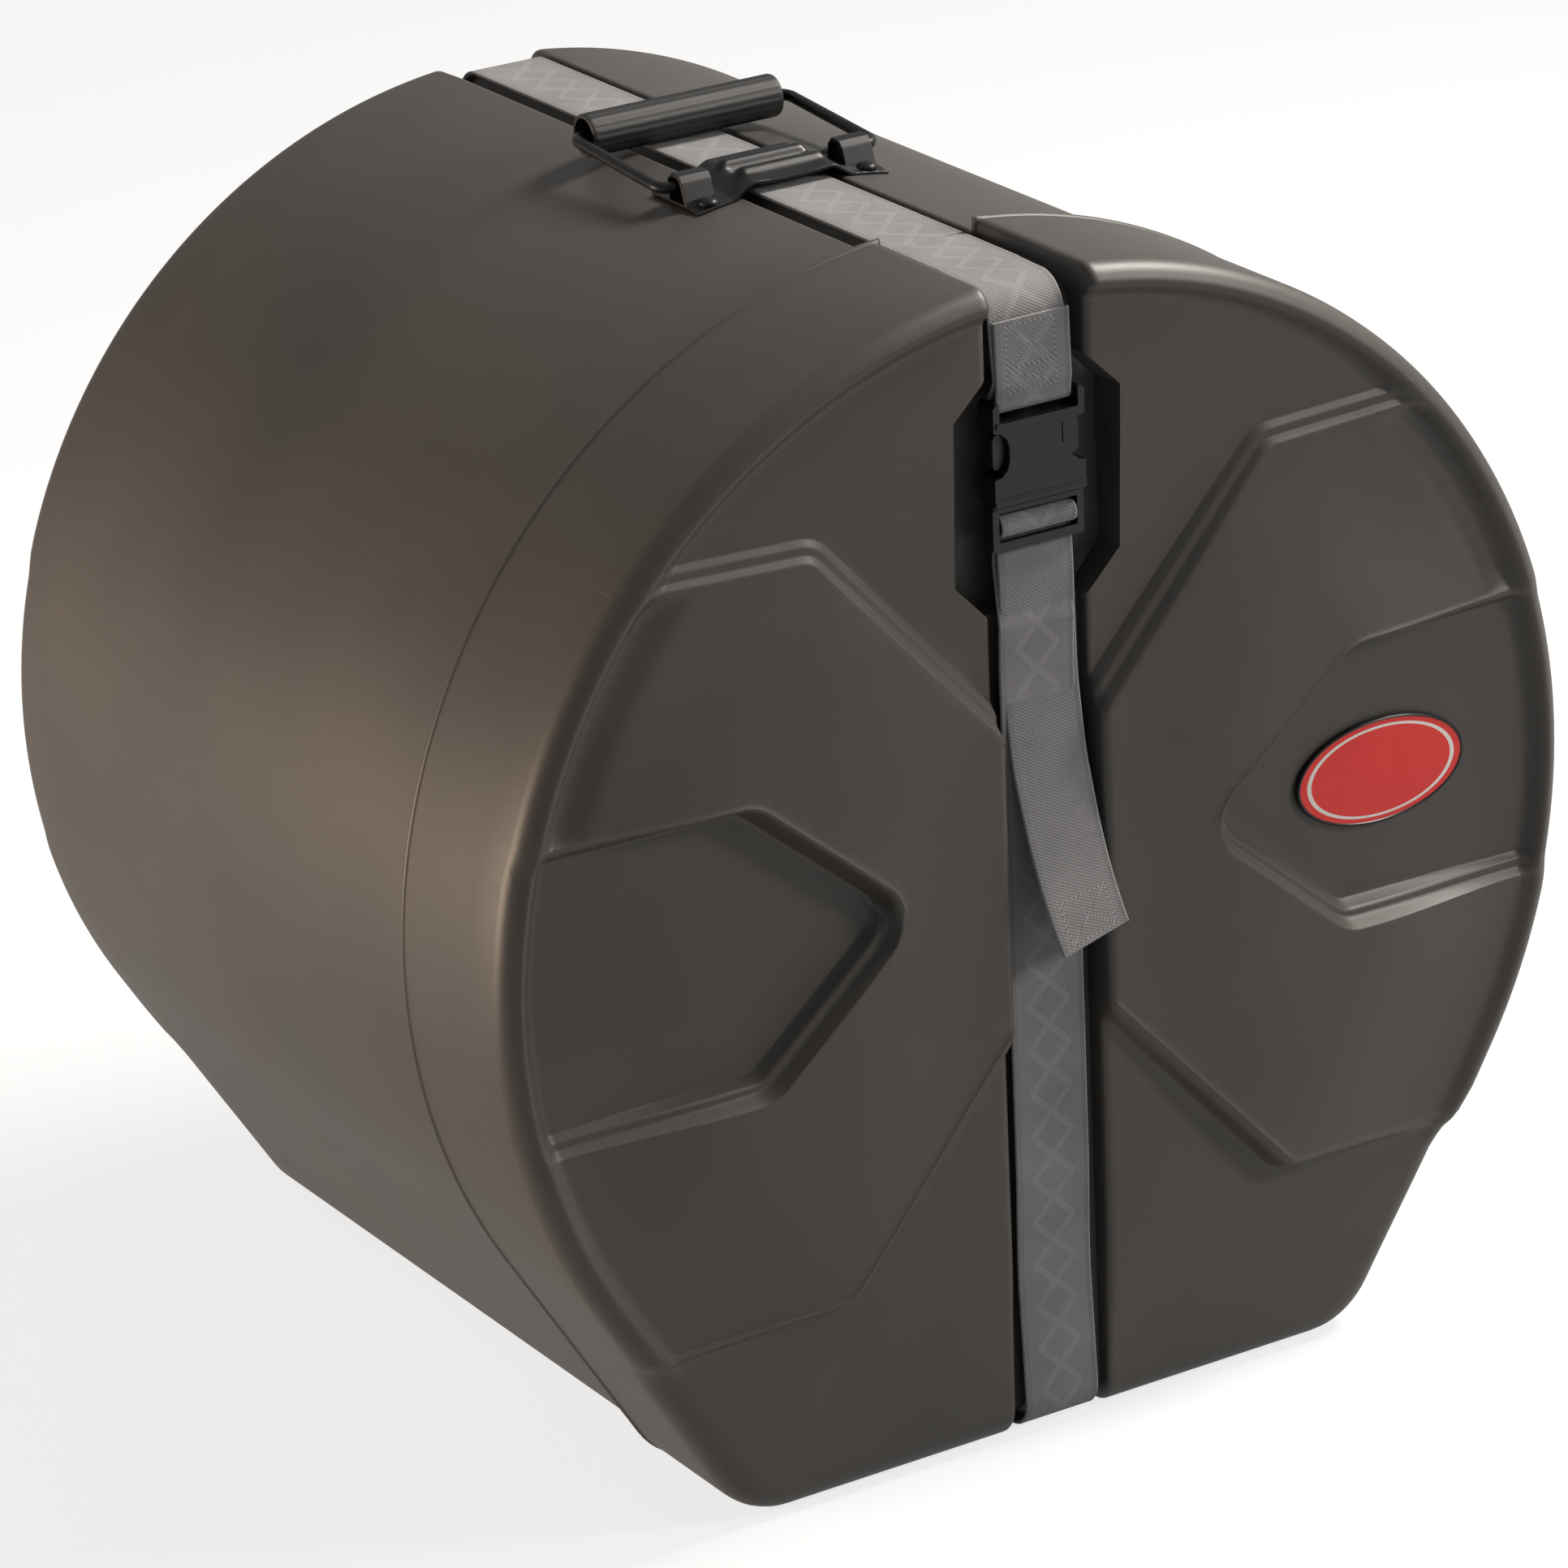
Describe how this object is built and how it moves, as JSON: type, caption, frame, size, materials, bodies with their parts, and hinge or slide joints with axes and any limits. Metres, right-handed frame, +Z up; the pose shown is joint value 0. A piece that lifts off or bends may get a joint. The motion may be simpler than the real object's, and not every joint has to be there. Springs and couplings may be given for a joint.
{
  "type": "drum case",
  "caption": "Round-topped moulded drum case with a telescoping lid, a buckled strap in a channel round it and a folding carry handle on top.",
  "frame": {"origin": "on the base, under the middle of the whole", "axes": "+Z up, -Y out of the lid's face, +X to the right seen from the lid's face"},
  "size_m": [0.69, 0.6026, 0.6933],
  "materials": {
    "case_plastic": "charcoal, fine leather-like moulded grain",
    "foam": "soft closed-cell foam",
    "webbing": "woven grey webbing with edge stripes",
    "buckle_plastic": "satin moulded black",
    "black_steel": "glossy black stove enamel",
    "washer_steel": "zinc plated",
    "grip_plastic": "ribbed matte black tube",
    "badge_black": "black frame",
    "badge_red": "plain red with a white ring"
  },
  "bodies": {
    "case_body": {"body_shell": "case_plastic", "body_foam_pad": "foam", "body_foam_lining": "foam", "strap_body_run": "webbing", "handle_plate": "black_steel", "handle_rivet_1": "black_steel", "handle_rivet_2": "black_steel", "handle_rivet_3": "black_steel", "handle_rivet_4": "black_steel", "handle_washer_1": "washer_steel", "handle_washer_2": "washer_steel", "handle_washer_3": "washer_steel", "handle_washer_4": "washer_steel"},
    "lid": {"lid_shell": "case_plastic", "lid_foam_pad": "foam", "strap_upper": "webbing", "strap_lower": "webbing", "buckle_socket": "buckle_plastic", "buckle_plug": "buckle_plastic", "badge_base": "badge_black", "badge_face": "badge_red"},
    "prong_right": {"buckle_prong_right": "buckle_plastic"},
    "prong_left": {"buckle_prong_left": "buckle_plastic"},
    "tail": {"strap_tail": "webbing"},
    "handle": {"handle_bail": "black_steel", "handle_grip": "grip_plastic"}
  },
  "joints": [
    {"name": "lid_slide", "type": "slide", "parent": "case_body", "child": "lid", "axis": [0, -1, 0], "range_m": [0, 0.2]},
    {"name": "handle_swing", "type": "hinge", "parent": "case_body", "child": "handle", "pos_m": [0, -0.01973, 0.67346], "axis": [1, 0, 0], "range_deg": [0, 85.5]},
    {"name": "prong_right_squeeze", "type": "hinge", "parent": "lid", "child": "prong_right", "pos_m": [0.01925, -0.27323, 0.5512], "axis": [0, -1, 0], "range_deg": [0, 8], "stiffness_Nm_per_rad": 1},
    {"name": "prong_left_squeeze", "type": "hinge", "parent": "lid", "child": "prong_left", "pos_m": [-0.01925, -0.27323, 0.5512], "axis": [0, 1, 0], "range_deg": [0, 8], "stiffness_Nm_per_rad": 1},
    {"name": "tail_swing", "type": "hinge", "parent": "lid", "child": "tail", "pos_m": [0, -0.27223, 0.5225], "axis": [-1, 0, 0], "range_deg": [0, 90]}
  ],
  "couplings": [
    {"joint": "prong_left_squeeze", "follows": "prong_right_squeeze", "ratio": 1}
  ]
}
